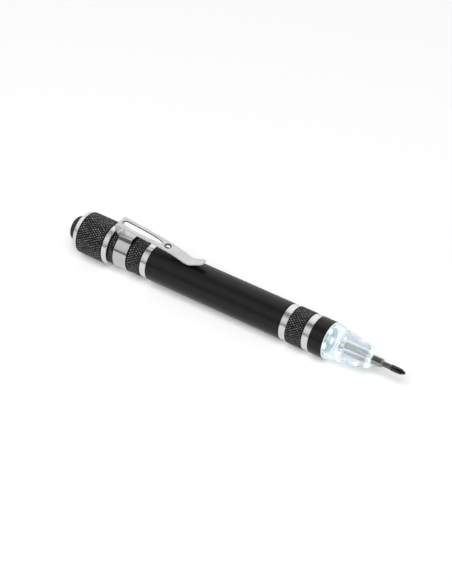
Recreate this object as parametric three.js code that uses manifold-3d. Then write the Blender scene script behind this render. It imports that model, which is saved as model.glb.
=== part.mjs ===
// Pen-shaped screwdriver with a lit clear nose, lying on its side with the clip on top.
// Millimetres. X runs along the pen from the push button to the bit, and Z is up.
import * as THREE from 'three';
import { mergeVertices } from 'three/addons/utils/BufferGeometryUtils.js';
import Module from 'manifold-3d';

// Fits
const RUN = 0.1; // radial clearance of pieces that turn or slide in one another
const SEAT = 0.1; // gap at a face that rests on the next piece
const EASE = 0.3; // gap round pieces that only come near each other
const EDGE = 0.15; // broken edge of a turned piece

// Bits
const BIT_FLATS = 2.8; // hexagon, across flats
const BIT_HEX = 14; // length of the hexagon
const BIT_BEVEL = 0.5; // length of the cone that ends the hexagon
const BIT_NECK_D = 1.8;
const BIT_NECK = 3.2; // length of the round neck
const BIT_POINT_D = 2.2;
const BIT_POINT = 5; // length of the shaped point
const BIT_TIP_D = 0.7; // blunt end of a cross point
const BIT_TIP = 1.6; // length of the cone of a cross point
const BIT_TURN = -4; // degrees that the bit and its socket are turned about the axis
const BIT_OUT = 12.1; // length in front of the nose
const FLUTE = 1.6; // side of the square tool that cuts a flute
const FLUTE_CORE = 0.22; // half the core left between two flutes at the tip
const FLUTE_LEAN = 9; // degrees
const BLADE = 0.5; // thickness of a flat point at its tip
const BLADE_LEAN = 8; // degrees
const STAR_D = 1.9; // star point over its lobes
const STAR_DIP = 0.22; // depth between the lobes
const KEY_FLATS = 1.5; // hexagon key point, across flats

// Magazine and contact rod
const ROD_D = 1.6;
const ROD_PROUD = 0.6; // length of rod that stands out of the magazine's head
const SLOT_WEB = 0.4; // wall between the rod and a bit slot
const SLOT_RIM = 0.67; // depth of a spare bit below the magazine's surface
const SLOT_END = 1.2; // wall at each end of the bit slots
const HEAD = 4.5; // length of the head that turns in the front sleeve
const STEM_WALL = 1.2; // wall of the stem round the rod
const GUIDE = 2; // length of the rear guide

// Barrel
const BARREL_WALL = 1.1;
const PLAIN = 54.4; // length of the plain black stretch
const RING = 2.4; // width of a bright ring
const RING_CUT = 0.1; // depth of a bright ring
const KNURL_RISE = 0.08; // height of the knurl's crests
const REAR_GRIP = 5.6; // length of the knurl in front of the clip
const CLIP_SEAT = 5.7; // width of the groove for the clip band
const CLIP_SEAT_CUT = 0.3; // depth of that groove
const SHOULDER = 2.3; // length of the knurl behind the clip
const NECK = 6; // length of the threaded neck that takes the tail cap
const NECK_CUT = 0.3; // step from the barrel down to that neck

// Front sleeve
const COLLAR = 5.2; // length of the plain collar
const FRONT_GRIP = 6.5; // length of the knurled grip
const SLEEVE_WALL = 1.1; // wall round the nose's spigot
const SPIGOT_WALL = 1; // wall of the threaded spigot
const LIP = 0.8; // height of the lip that holds the magazine's head
const LIP_LENGTH = 2.5;

// Clear nose
const NOSE = 16.1; // length in front of the sleeve
const NOSE_RIM = 0.9; // length of the rim at the collar
const NOSE_STEP = 0.15; // step from the rim down to the cone
const NOSE_TIP_D = 7.15; // cone at the front bevel
const NOSE_END_D = 4.8; // front face
const NOSE_BEVEL = 0.7; // length of the front bevel
const NOSE_SKIRT = 0.7; // wall of the spigot round the lamps
const SKIRT_OVER = 0.7; // length of that spigot behind the board
const LAMP_ROOM = 4.6; // length of the hollow in front of the collar's face
const BOSS_WALL = 0.7; // wall of the boss that holds the magnet

// Lamps, board, magnet and contact stud
const LAMP_SET = 0.4; // depth of the lamps behind the collar's face
const LED_RADIAL = 1.6;
const LED_ACROSS = 2.4;
const LED_BODY = 0.6; // height of the moulded body
const LED_WINDOW_D = 1.2;
const LED_WINDOW = 0.2; // height of the window
const LED_CORNER = 0.3;
const LED_COUNT = 3;
const LED_TURN = 103; // degrees from the top to the first lamp
const BOARD = 1; // thickness
const BOARD_HOLE_D = 2.8;
const MAGNET_D = 2.6;
const MAGNET = 2.2; // length
const STUD_D = 5.8;
const STUD = 3.6; // length behind the board
const STUD_PIN = 0.2; // length of its pin in front of the board
const FEED_SPRING = 7; // room for the spring between the stud and the rod

// Cells
const CELL_D = 7.9;
const CELL = 3.6; // height
const CELL_POLE_D = 5.8; // smaller pole
const CELL_POLE = 0.4; // height of the smaller pole
const CELL_EDGE = 0.35;
const PLATE = 0.5; // thickness of the contact plate
const PLATE_EDGE = 0.4; // distance from the plate's rim to the sleeve
const SLEEVE_LIP = 1; // length of the lip in front of the plate
const SLEEVE_LIP_EASE = 0.9; // clearance of that lip round the rod
const CELL_SPRING = 2.6; // room for the spring behind the cells

// Tail cap, switch and push button
const CAP_WALL = 1.3;
const CAP_RING = 2; // width of the bright front ring
const CAP_BEVEL = 1.8; // length of the bright rear bevel
const CAP_DROP = 0.6; // fall of the rear bevel
const CAP_END = 1.9; // thickness of the end wall
const HOUSING_WALL = 0.8;
const HOUSING_FLOOR = 1.2;
const HOUSING_EYE_D = 2.4; // hole in the floor for the switch contact
const BUTTON_D = 8.8;
const BUTTON_OUT = 4.2; // length outside the cap
const BUTTON_DOME = 1.4; // height of the domed end
const BUTTON_FLANGE = 1.2;
const BUTTON_LIFT = 0.1; // gap behind the flange
const BUTTON_SPRING = 4; // room for the return spring
const CONTACT_HEAD_D = 3.6;
const CONTACT_HEAD = 0.5;
const CONTACT_PIN_D = 1.6;
const CONTACT_PIN = 2.3;

// Coil springs
const FEED_WIRE = 0.4;
const FEED_COIL_D = 3;
const FEED_TURNS = 5;
const CELL_WIRE = 0.5;
const CELL_COIL_D = 6.4;
const CELL_COIL_TIP_D = 3;
const CELL_TURNS = 2;
const BUTTON_WIRE = 0.5;
const BUTTON_COIL_D = 6;
const BUTTON_TURNS = 2.5;
const TURN_STEPS = 8;
const WIRE_SIDES = 5;

// Clip
const CLIP = 0.5; // thickness of the sheet
const CLIP_SIDE = 0.15; // gap at each side of the band in its groove
const SADDLE_RISE = 0.7; // height of the band's flat above the groove
const SADDLE_W = 3.8; // width of the band's flat
const FLANK = 60; // degrees that a flank of the flat leans down
const TONGUE = 1.3; // distance from the band to the neck
const FOLD = 0.8; // bend radius at mid sheet
const FOOT = 0.7; // height of the neck's foot above the bend
const ARM_RISE = 5.4; // top of the arm above the barrel at the neck
const HOLE_RISE = 3.3; // the same at the round hole
const BUMP_GAP = 0.35; // gap between the barrel and the arm's crease before it is rounded
const BUMP_ROUND = 1.5; // length of the rounding on each side of the crease
const TOE_RISE = 3.4; // top of the arm above the barrel at the toe
const HOLE_AT = 20.3; // distances from the neck
const BUMP_AT = 29.5;
const TOE_AT = 35.4;
const WINDOW_FROM = 1.4;
const WINDOW_CLOSE = 9; // where the window's sides begin to close
const WINDOW_AIM = 16.5; // where the tangents of a closing side meet
const WINDOW_TO = 18.2;
const ARM_W = 5.4;
const BUMP_W = 3.9;
const TOE_W = 3.1;
const TOE_ROUND = 0.8;
const WINDOW_W = 2.5;
const WINDOW_POINT = 0.3; // radius of the window's narrow end
const HOLE_D = 2.4;

// Facets
const SIDES = 48; // sides of the outer turned pieces
const REST = 14; // degrees that the side on the ground spans, so that the pen doesn't roll
const INNER_SIDES = 24;
const SMALL_SIDES = 16;
const ARC_STEPS = 6;
const ARM_STEPS = 28;
const MERGE = 1e-4;
const BEYOND = 2; // length by which a cutting tool passes the piece

// Radii, from the rod outwards
const rad = THREE.MathUtils.degToRad;
const bitCorner = BIT_FLATS / Math.sqrt(3);
const bitEnd = BIT_NECK + BIT_POINT;
const bitLength = BIT_HEX + bitEnd;
const rodHoleR = ROD_D / 2 + RUN;
const slotR = bitCorner + RUN;
const slotPitch = rodHoleR + SLOT_WEB + slotR;
const magazineR = slotPitch + bitCorner + SLOT_RIM;
const boreR = magazineR + RUN;
const barrelR = boreR + BARREL_WALL;
const ringR = barrelR - RING_CUT;
const knurlR = barrelR + KNURL_RISE;
const clipSeatR = barrelR - CLIP_SEAT_CUT;
const neckR = barrelR - NECK_CUT;
const capBoreR = neckR + RUN;
const capR = capBoreR + CAP_WALL;
const spigotR = boreR - RUN;
const headRoomR = spigotR - SPIGOT_WALL;
const headR = headRoomR - RUN;
const lipR = headRoomR - LIP;
const headNeckR = lipR - RUN;
const seatBoreR = barrelR - SLEEVE_WALL;
const noseSpigotR = seatBoreR - RUN;
const lampRoomR = noseSpigotR - NOSE_SKIRT;
const boardR = lampRoomR - RUN;
const boardHoleR = BOARD_HOLE_D / 2;
const ledPitch = (boardHoleR + boardR) / 2;
const magnetBoreR = MAGNET_D / 2 + RUN;
const bossR = magnetBoreR + BOSS_WALL;
const studR = STUD_D / 2;
const studPinR = boardHoleR - RUN;
const cellSleeveR = boreR - RUN;
const cellBoreR = CELL_D / 2 + RUN;
const housingR = capBoreR - RUN;
const housingBoreR = housingR - HOUSING_WALL;
const buttonR = BUTTON_D / 2;
const flangeR = housingBoreR - RUN;
const bandR = clipSeatR + RUN;

// Stations along the pen, from the front face of the sleeve
const xRing = -COLLAR;
const xFrontGrip = xRing - RING;
const xRearRing = xFrontGrip - FRONT_GRIP;
const xSplit = xRearRing - RING;
const xPlainEnd = xSplit - PLAIN;
const xRearGrip = xPlainEnd - RING;
const xClipSeat = xRearGrip - REAR_GRIP;
const xClipSeatEnd = xClipSeat - CLIP_SEAT;
const xShoulder = xClipSeatEnd - SHOULDER;
const xBarrelEnd = xShoulder - NECK;

// Stations of the bit and its magnet, from the nose backwards
const xBitTip = NOSE + BIT_OUT;
const xBitRear = xBitTip - bitLength;
const xBitMiddle = (xBitTip + xBitRear) / 2;
const xMagnetFront = xBitRear - SEAT;
const xMagnetRear = xMagnetFront - MAGNET;

// Stations of the lamp unit, from the lamps backwards
const xLedFront = -LAMP_SET;
const xBoardFront = xLedFront - LED_WINDOW - LED_BODY - SEAT;
const xBoardRear = xBoardFront - BOARD;
const xSkirtEnd = xBoardRear - SKIRT_OVER;
const xStudFront = xBoardRear - SEAT;
const xStudRear = xStudFront - STUD;

// Stations of the magazine, from the lamp unit backwards
const xRodFront = xStudRear - FEED_SPRING;
const xHeadFront = xRodFront - ROD_PROUD;
const xHeadRear = xHeadFront - HEAD;
const xLipFront = xHeadRear - EASE;
const xSleeveEnd = xLipFront - LIP_LENGTH;
const xMagazine = xSleeveEnd - EASE;
const xSlotFront = xMagazine - SLOT_END;
const xSlotRear = xSlotFront - bitLength - 2 * EASE;
const xMagazineEnd = xSlotRear - SLOT_END;

// Stations of the tail, from the barrel's end
const xCapFront = xShoulder - SEAT;
const xHousingFront = xBarrelEnd - EASE;
const xHousingFloor = xHousingFront - HOUSING_FLOOR;
const xFlangeFront = xHousingFloor - BUTTON_SPRING;
const xFlangeRear = xFlangeFront - BUTTON_FLANGE;
const xHousingRear = xFlangeRear - BUTTON_LIFT;
const xCapWall = xHousingRear - SEAT;
const xCapRear = xCapWall - CAP_END;
const xButtonEnd = xCapRear - BUTTON_OUT;
const xCellEnd = xHousingFront + CELL_SPRING;
const cellStep = CELL + SEAT;
const CELL_COUNT = 3;
const xPlateRear = xCellEnd + CELL_COUNT * cellStep;
const xPlateFront = xPlateRear + PLATE;
const xCellSleeveLip = xPlateFront + SEAT;
const xCellSleeveFront = xCellSleeveLip + SLEEVE_LIP;
const xGuideRear = xCellSleeveFront + EASE;
const xGuideFront = xGuideRear + GUIDE;
const xRodRear = xPlateFront + SEAT;

// Stations of the clip
const xBandFront = xClipSeat - CLIP_SIDE;
const xBandRear = xClipSeatEnd + CLIP_SIDE;
const xNeck = xBandRear - TONGUE;
const zFlat = bandR + SADDLE_RISE;
const zTongue = zFlat + CLIP / 2;
const zFoot = zTongue + FOLD + FOOT;
const zArm = barrelR + ARM_RISE - CLIP / 2;

const wasm = await Module();
wasm.setup();

// A closed geometry as a solid that can be joined and cut.
function solidOf(geometry) {
  const bare = new THREE.BufferGeometry();
  bare.setAttribute('position', geometry.getAttribute('position'));
  bare.setIndex(geometry.getIndex());
  const merged = mergeVertices(bare, MERGE);
  const corners = merged.getIndex().array;
  const triangles = [];
  for (let i = 0; i < corners.length; i += 3) {
    const [a, b, c] = corners.slice(i, i + 3);
    if (a !== b && b !== c && c !== a) {
      triangles.push(a, b, c);
    }
  }
  return new wasm.Manifold(new wasm.Mesh({
    numProp: 3,
    vertProperties: Float32Array.from(merged.getAttribute('position').array),
    triVerts: Uint32Array.from(triangles),
  }));
}

function geometryOf(solid) {
  const mesh = solid.getMesh();
  const geometry = new THREE.BufferGeometry();
  geometry.setAttribute('position', new THREE.BufferAttribute(mesh.vertProperties, mesh.numProp));
  geometry.setIndex(new THREE.BufferAttribute(mesh.triVerts, 1));
  geometry.computeVertexNormals();
  return geometry;
}

// A piece turned about X from [station, radius] pairs. A flat side faces down, and on the outer pieces
// that side is the wider one that the pen rests on.
function turned(profile, sides) {
  const points = profile.map(([x, r]) => new THREE.Vector2(r, x));
  if (THREE.ShapeUtils.area(points) < 0) {
    points.reverse();
  }
  const onAxis = points[0].x === 0 && points[points.length - 1].x === 0;
  if (!onAxis) {
    points.push(points[0].clone());
  }
  const lathe = new THREE.LatheGeometry(points, sides, Math.PI / sides).rotateZ(-Math.PI / 2);
  if (sides === SIDES) {
    const position = lathe.getAttribute('position');
    for (let i = 0; i < position.count; i += 1) {
      const side = Math.atan2(position.getY(i), -position.getZ(i));
      if (Math.abs(side) < (1.5 * Math.PI) / sides) {
        const r = Math.hypot(position.getY(i), position.getZ(i));
        const edge = (Math.sign(side) * rad(REST)) / 2;
        position.setXYZ(i, position.getX(i), r * Math.sin(edge), -r * Math.cos(edge));
      }
    }
  }
  return solidOf(lathe);
}

function tube(xFrom, xTo, inner, outer, sides) {
  return turned([[xFrom, inner], [xFrom, outer], [xTo, outer], [xTo, inner]], sides);
}

function rod(xFrom, xTo, radius, sides) {
  return turned([[xFrom, 0], [xFrom, radius], [xTo, radius], [xTo, 0]], sides);
}

// Prisms: an outline in YZ drawn along X, in XZ drawn along Y, and in XY drawn along Z.
function alongX(shape, xFrom, xTo) {
  const prism = new THREE.ExtrudeGeometry(shape, {
    depth: xTo - xFrom, bevelEnabled: false, curveSegments: ARC_STEPS,
  });
  const turn = new THREE.Matrix4().makeBasis(
    new THREE.Vector3(0, 1, 0), new THREE.Vector3(0, 0, 1), new THREE.Vector3(1, 0, 0));
  return solidOf(prism.applyMatrix4(turn).translate(xFrom, 0, 0));
}

function alongY(shape, width) {
  const prism = new THREE.ExtrudeGeometry(shape, { depth: width, bevelEnabled: false });
  return solidOf(prism.rotateX(Math.PI / 2).translate(0, width / 2, 0));
}

function alongZ(shape, zFrom, zTo) {
  const prism = new THREE.ExtrudeGeometry(shape, {
    depth: zTo - zFrom, bevelEnabled: false, curveSegments: ARC_STEPS * 2,
  });
  return solidOf(prism.translate(0, 0, zFrom));
}

function hexagon(xFrom, xTo, flats) {
  const corner = flats / Math.sqrt(3);
  const prism = new THREE.CylinderGeometry(corner, corner, xTo - xFrom, 6);
  return solidOf(prism.rotateZ(-Math.PI / 2).translate((xFrom + xTo) / 2, 0, 0));
}

function quarter(steps) {
  return Array.from({ length: steps + 1 }, (_, i) => (i / steps) * (Math.PI / 2));
}

// Bit points. Each starts at x = 0 and ends at x = BIT_POINT.
const pointR = BIT_POINT_D / 2;

function crossPoint() {
  const blank = turned([
    [0, 0], [0, pointR], [BIT_POINT - BIT_TIP, pointR], [BIT_POINT, BIT_TIP_D / 2], [BIT_POINT, 0],
  ], SMALL_SIDES);
  let point = blank;
  for (let k = 0; k < 4; k += 1) {
    const tool = new THREE.BoxGeometry(2 * BIT_POINT, FLUTE, FLUTE);
    tool.rotateX(Math.PI / 4);
    tool.translate(0, 0, FLUTE / Math.sqrt(2));
    tool.rotateY(rad(FLUTE_LEAN));
    tool.translate(BIT_POINT, 0, FLUTE_CORE);
    tool.rotateX((k * Math.PI) / 2 + Math.PI / 4);
    point = point.subtract(solidOf(tool));
  }
  return point;
}

function flatPoint() {
  let point = rod(0, BIT_POINT, pointR, SMALL_SIDES);
  for (const side of [1, -1]) {
    const tool = new THREE.BoxGeometry(2 * BIT_POINT, 2 * BIT_POINT_D, 2 * BIT_POINT_D);
    tool.translate(0, 0, side * BIT_POINT_D);
    tool.rotateY(side * rad(BLADE_LEAN));
    tool.translate(BIT_POINT, 0, side * (BLADE / 2));
    point = point.subtract(solidOf(tool));
  }
  return point;
}

function starPoint() {
  const outline = new THREE.Shape();
  const steps = 6 * ARC_STEPS;
  for (let i = 0; i < steps; i += 1) {
    const angle = (2 * Math.PI * i) / steps;
    const r = STAR_D / 2 - (STAR_DIP / 2) * (1 - Math.cos(6 * angle));
    if (i === 0) {
      outline.moveTo(r, 0);
    } else {
      outline.lineTo(r * Math.cos(angle), r * Math.sin(angle));
    }
  }
  const star = alongX(outline, 0, BIT_POINT);
  return star.add(rod(0, BIT_POINT / 2, pointR, SMALL_SIDES));
}

function keyPoint() {
  const key = hexagon(0, BIT_POINT, KEY_FLATS);
  return key.add(rod(0, BIT_POINT / 2, pointR, SMALL_SIDES));
}

// A bit with its middle at the origin and its point towards +X.
function bit(point) {
  const rear = -bitLength / 2;
  const shoulder = rear + BIT_HEX;
  const wide = bitCorner + RUN;
  const envelope = turned([
    [rear, 0], [rear, BIT_NECK_D / 2], [rear + BIT_BEVEL, wide],
    [shoulder - BIT_BEVEL, wide], [shoulder, BIT_NECK_D / 2], [shoulder, 0],
  ], INNER_SIDES);
  const shank = hexagon(rear, shoulder, BIT_FLATS).intersect(envelope);
  const neck = turned([
    [-EDGE, 0], [-EDGE, BIT_NECK_D / 2], [BIT_NECK - BIT_BEVEL, BIT_NECK_D / 2],
    [BIT_NECK + EDGE, pointR], [BIT_NECK + EDGE, 0],
  ], SMALL_SIDES);
  return shank.add(neck.add(point.translate([BIT_NECK, 0, 0])).translate([shoulder, 0, 0]));
}

// A coil spring along X as one tube, with each end straight for one wire.
function coil(name, xFrom, xTo, fromD, toD, turns, wire) {
  const steps = Math.round(turns * TURN_STEPS);
  const x0 = Math.min(xFrom, xTo) + wire / 2;
  const rise = Math.abs(xTo - xFrom) - wire;
  const [d0, d1] = xFrom < xTo ? [fromD, toD] : [toD, fromD];
  const at = (t) => {
    const angle = 2 * Math.PI * turns * t;
    const r = (d0 + (d1 - d0) * t) / 2;
    return new THREE.Vector3(x0 + rise * t, r * Math.cos(angle), r * Math.sin(angle));
  };
  const line = Array.from({ length: steps + 1 }, (_, i) => at(i / steps));
  const lead = line[0].clone().sub(line[1]).setX(0).setLength(wire).add(line[0]);
  const tail = line[steps].clone().sub(line[steps - 1]).setX(0).setLength(wire).add(line[steps]);
  const path = [lead, ...line, tail];
  const position = [];
  const index = [];
  path.forEach((p, i) => {
    const ahead = path[Math.min(i + 1, path.length - 1)];
    const behind = path[Math.max(i - 1, 0)];
    const along = ahead.clone().sub(behind).normalize();
    const axial = new THREE.Vector3(1, 0, 0);
    const out = along.clone().cross(axial).normalize();
    const up = out.clone().cross(along);
    for (let s = 0; s < WIRE_SIDES; s += 1) {
      const a = (2 * Math.PI * s) / WIRE_SIDES;
      const q = p.clone().addScaledVector(out, (wire / 2) * Math.cos(a));
      q.addScaledVector(up, (wire / 2) * Math.sin(a));
      position.push(q.x, q.y, q.z);
    }
  });
  for (let i = 0; i < path.length - 1; i += 1) {
    for (let s = 0; s < WIRE_SIDES; s += 1) {
      const a = i * WIRE_SIDES + s;
      const b = i * WIRE_SIDES + ((s + 1) % WIRE_SIDES);
      index.push(a, a + WIRE_SIDES, b, b, a + WIRE_SIDES, b + WIRE_SIDES);
    }
  }
  const last = (path.length - 1) * WIRE_SIDES;
  for (let s = 1; s < WIRE_SIDES - 1; s += 1) {
    index.push(0, s, s + 1, last, last + s + 1, last + s);
  }
  const geometry = new THREE.BufferGeometry();
  geometry.setAttribute('position', new THREE.Float32BufferAttribute(position, 3));
  geometry.setIndex(index);
  let gap = Infinity;
  path.forEach((p, i) => {
    path.slice(i + TURN_STEPS / 2).forEach((q) => {
      gap = Math.min(gap, p.distanceTo(q) - wire);
    });
  });
  console.log(`${name}: least gap to itself ${gap.toFixed(2)} mm`);
  return solidOf(geometry);
}

// A bent strip of sheet, as an outline in XZ round its middle line.
function strip(line, thickness) {
  const left = [];
  const right = [];
  line.forEach((p, i) => {
    const ahead = line[Math.min(i + 1, line.length - 1)];
    const behind = line[Math.max(i - 1, 0)];
    const along = ahead.clone().sub(behind).normalize();
    const side = new THREE.Vector2(-along.y, along.x).multiplyScalar(thickness / 2);
    left.push(p.clone().add(side));
    right.unshift(p.clone().sub(side));
  });
  return new THREE.Shape([...left, ...right]);
}

// Finishes
const finish = {
  black: { color: 0x1c1d1f, roughness: 0.38, metalness: 0.35 },
  clear: { color: 0xe9f3ff, roughness: 0.05, metalness: 0, transparent: true, opacity: 0.35 },
  clip: { color: 0xc9ccd0, roughness: 0.2, metalness: 1 },
  tool: { color: 0x4a4d52, roughness: 0.35, metalness: 1 },
  nickel: { color: 0xd2d4d6, roughness: 0.25, metalness: 1 },
  brass: { color: 0xc8a24c, roughness: 0.3, metalness: 1 },
  board: { color: 0x1d6f66, roughness: 0.5, metalness: 0.1 },
  lamp: { color: 0xfdfcf0, roughness: 0.3, metalness: 0, emissive: 0xdfeaff },
  ivory: { color: 0xdedcd3, roughness: 0.5, metalness: 0 },
  grey: { color: 0x6d7074, roughness: 0.55, metalness: 0 },
  button: { color: 0x141415, roughness: 0.5, metalness: 0 },
};

const pen = new THREE.Group();

function add(name, solid, look, parent = pen) {
  const material = new THREE.MeshStandardMaterial({ ...look, flatShading: true });
  const mesh = new THREE.Mesh(geometryOf(solid), material);
  mesh.name = name;
  parent.add(mesh);
  return mesh;
}

// Barrel: one tube with the front thread's bore, the clip's groove and the rear neck.
add('barrel', turned([
  [xSplit - SEAT, boreR], [xSplit - SEAT, barrelR - EDGE], [xSplit - SEAT - EDGE, barrelR],
  [xPlainEnd, barrelR], [xPlainEnd, ringR], [xRearGrip, ringR], [xRearGrip, knurlR],
  [xClipSeat, knurlR], [xClipSeat, clipSeatR], [xClipSeatEnd, clipSeatR], [xClipSeatEnd, knurlR],
  [xShoulder, knurlR], [xShoulder, neckR], [xBarrelEnd, neckR], [xBarrelEnd, boreR],
], SIDES), finish.black);

// Front sleeve: collar, rings and grip outside. Inside, the seat for the nose and the lamp unit, the room
// for the magazine's head, and the lip that holds the head in the threaded spigot.
add('front_sleeve', turned([
  [0, seatBoreR], [0, barrelR - EDGE], [-EDGE, barrelR], [xRing, barrelR], [xRing, ringR],
  [xFrontGrip, ringR], [xFrontGrip, knurlR], [xRearRing, knurlR], [xRearRing, ringR],
  [xSplit, ringR], [xSplit, spigotR], [xSleeveEnd, spigotR], [xSleeveEnd, lipR], [xLipFront, lipR],
  [xLipFront, headRoomR], [xStudRear - SEAT, headRoomR], [xStudRear - SEAT, seatBoreR],
], SIDES), finish.black);

// Clear nose: rim, cone and bevel, with a skirt and a hollow for the lamps, the hexagon socket for the bit
// and the boss that holds its magnet.
const noseBlank = turned([
  [xSkirtEnd, lampRoomR], [xSkirtEnd, noseSpigotR], [SEAT, noseSpigotR], [SEAT, barrelR],
  [NOSE_RIM, barrelR], [NOSE_RIM, barrelR - NOSE_STEP], [NOSE - NOSE_BEVEL, NOSE_TIP_D / 2],
  [NOSE, NOSE_END_D / 2], [NOSE, magnetBoreR], [xMagnetRear, magnetBoreR], [xMagnetRear, bossR],
  [LAMP_ROOM, bossR], [LAMP_ROOM, lampRoomR],
], SIDES);
const socket = hexagon(xMagnetFront, NOSE + BEYOND, BIT_FLATS + 2 * RUN).rotate([BIT_TURN, 0, 0]);
add('nose_lens', noseBlank.subtract(socket), finish.clear);

// Lamp unit: ring board, lamps, and the brass stud behind them in its insulating bush.
add('led_board', tube(xBoardRear, xBoardFront, boardHoleR, boardR, INNER_SIDES), finish.board);
const ledY = LED_ACROSS / 2;
const ledZ = LED_RADIAL / 2;
const ledOutline = new THREE.Shape([
  new THREE.Vector2(ledY, LED_CORNER - ledZ), new THREE.Vector2(ledY, ledZ - LED_CORNER),
  new THREE.Vector2(ledY - LED_CORNER, ledZ), new THREE.Vector2(LED_CORNER - ledY, ledZ),
  new THREE.Vector2(-ledY, ledZ - LED_CORNER), new THREE.Vector2(-ledY, LED_CORNER - ledZ),
  new THREE.Vector2(LED_CORNER - ledY, -ledZ), new THREE.Vector2(ledY - LED_CORNER, -ledZ),
]);
const ledBase = xBoardFront + SEAT;
for (let k = 0; k < LED_COUNT; k += 1) {
  const body = alongX(ledOutline, ledBase, ledBase + LED_BODY);
  const window = rod(ledBase, xLedFront, LED_WINDOW_D / 2, SMALL_SIDES);
  const led = body.add(window).translate([0, 0, ledPitch]);
  add(`led_${k + 1}`, led.rotate([LED_TURN + (360 * k) / LED_COUNT, 0, 0]), finish.lamp);
}
const xStudPin = xBoardFront + STUD_PIN;
add('contact_stud', turned([
  [xStudRear, 0], [xStudRear, studR], [xStudFront, studR], [xStudFront, studPinR],
  [xStudPin, studPinR], [xStudPin, 0],
], INNER_SIDES), finish.brass);
add('stud_bush', tube(xStudRear, xSkirtEnd - SEAT, studR + RUN, noseSpigotR, INNER_SIDES), finish.ivory);

// Driver bit in the socket, held by the magnet behind it.
const driver = bit(crossPoint()).rotate([BIT_TURN, 0, 0]);
add('driver_bit', driver.translate([xBitMiddle, 0, 0]), finish.tool);
add('magnet', turned([
  [xMagnetRear, 0], [xMagnetRear, MAGNET_D / 2 - EDGE], [xMagnetRear + EDGE, MAGNET_D / 2],
  [xMagnetFront - EDGE, MAGNET_D / 2], [xMagnetFront, MAGNET_D / 2 - EDGE], [xMagnetFront, 0],
], INNER_SIDES), finish.brass);

// Magazine: head that turns in the sleeve, slotted body, stem and rear guide, all round the contact rod.
const stemR = rodHoleR + STEM_WALL;
let magazine = turned([
  [xHeadFront, rodHoleR], [xHeadFront, headR - EDGE], [xHeadFront - EDGE, headR], [xHeadRear, headR],
  [xHeadRear, headNeckR], [xMagazine, headNeckR], [xMagazine, magazineR], [xMagazineEnd, magazineR],
  [xMagazineEnd, stemR], [xGuideFront, stemR], [xGuideFront, magazineR], [xGuideRear, magazineR],
  [xGuideRear, rodHoleR],
], INNER_SIDES);
const slotOutline = new THREE.Shape();
slotOutline.moveTo(-slotR, magazineR + BEYOND);
slotOutline.lineTo(-slotR, slotPitch);
slotOutline.absarc(0, slotPitch, slotR, Math.PI, 2 * Math.PI);
slotOutline.lineTo(slotR, magazineR + BEYOND);
const spares = [starPoint(), flatPoint(), keyPoint()];
spares.forEach((point, k) => {
  const turn = [(360 * k) / spares.length, 0, 0];
  magazine = magazine.subtract(alongX(slotOutline, xSlotRear, xSlotFront).rotate(turn));
  const spare = bit(point).translate([(xSlotFront + xSlotRear) / 2, 0, slotPitch]);
  add(`spare_bit_${k + 1}`, spare.rotate(turn), finish.tool);
});
add('bit_magazine', magazine, finish.grey);
add('contact_rod', turned([
  [xRodRear, 0], [xRodRear, ROD_D / 2 - EDGE], [xRodRear + EDGE, ROD_D / 2],
  [xRodFront - EDGE, ROD_D / 2], [xRodFront, ROD_D / 2 - EDGE], [xRodFront, 0],
], SMALL_SIDES), finish.brass);
add('feed_spring', coil('feed_spring', xRodFront + SEAT, xStudRear - SEAT, FEED_COIL_D, FEED_COIL_D,
  FEED_TURNS, FEED_WIRE), finish.nickel);

// Cells in their sleeve, with the contact plate in front of them.
add('cell_sleeve', turned([
  [xBarrelEnd + SEAT, cellBoreR], [xBarrelEnd + SEAT, cellSleeveR], [xCellSleeveFront, cellSleeveR],
  [xCellSleeveFront, ROD_D / 2 + SLEEVE_LIP_EASE], [xCellSleeveLip, ROD_D / 2 + SLEEVE_LIP_EASE],
  [xCellSleeveLip, cellBoreR],
], INNER_SIDES), finish.ivory);
add('contact_plate', rod(xPlateRear, xPlateFront, cellBoreR - PLATE_EDGE, INNER_SIDES), finish.brass);
for (let k = 0; k < CELL_COUNT; k += 1) {
  const rear = xCellEnd + (CELL_COUNT - 1 - k) * cellStep;
  add(`cell_${k + 1}`, turned([
    [rear, 0], [rear, CELL_POLE_D / 2], [rear + CELL_POLE, CELL_POLE_D / 2],
    [rear + CELL_POLE, CELL_D / 2 - CELL_EDGE], [rear + CELL_POLE + CELL_EDGE, CELL_D / 2],
    [rear + CELL - EDGE, CELL_D / 2], [rear + CELL, CELL_D / 2 - EDGE], [rear + CELL, 0],
  ], INNER_SIDES), finish.nickel);
}
add('cell_spring', coil('cell_spring', xHousingFront + SEAT, xCellEnd - SEAT, CELL_COIL_D, CELL_COIL_TIP_D,
  CELL_TURNS, CELL_WIRE), finish.nickel);

// Tail cap, with the switch housing and the push button inside.
add('tail_cap', turned([
  [xCapFront, capBoreR], [xCapFront, capR - RING_CUT - EDGE], [xCapFront - EDGE, capR - RING_CUT],
  [xCapFront - CAP_RING, capR - RING_CUT], [xCapFront - CAP_RING, capR], [xCapRear + CAP_BEVEL, capR],
  [xCapRear, capR - CAP_DROP], [xCapRear, buttonR + RUN], [xCapWall, buttonR + RUN], [xCapWall, capBoreR],
], SIDES), finish.black);
add('switch_housing', turned([
  [xHousingFront, HOUSING_EYE_D / 2], [xHousingFront, housingR], [xHousingRear, housingR],
  [xHousingRear, housingBoreR], [xHousingFloor, housingBoreR], [xHousingFloor, HOUSING_EYE_D / 2],
], INNER_SIDES), finish.ivory);
const dome = quarter(ARC_STEPS).map((a) => [
  xButtonEnd + BUTTON_DOME * (1 - Math.sin(a)), buttonR * Math.cos(a),
]);
dome[dome.length - 1] = [xButtonEnd, 0];
add('push_button', turned([
  [xFlangeFront, 0], [xFlangeFront, flangeR], [xFlangeRear, flangeR], [xFlangeRear, buttonR], ...dome,
], INNER_SIDES), finish.button);
const xContact = xFlangeFront + SEAT;
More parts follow.
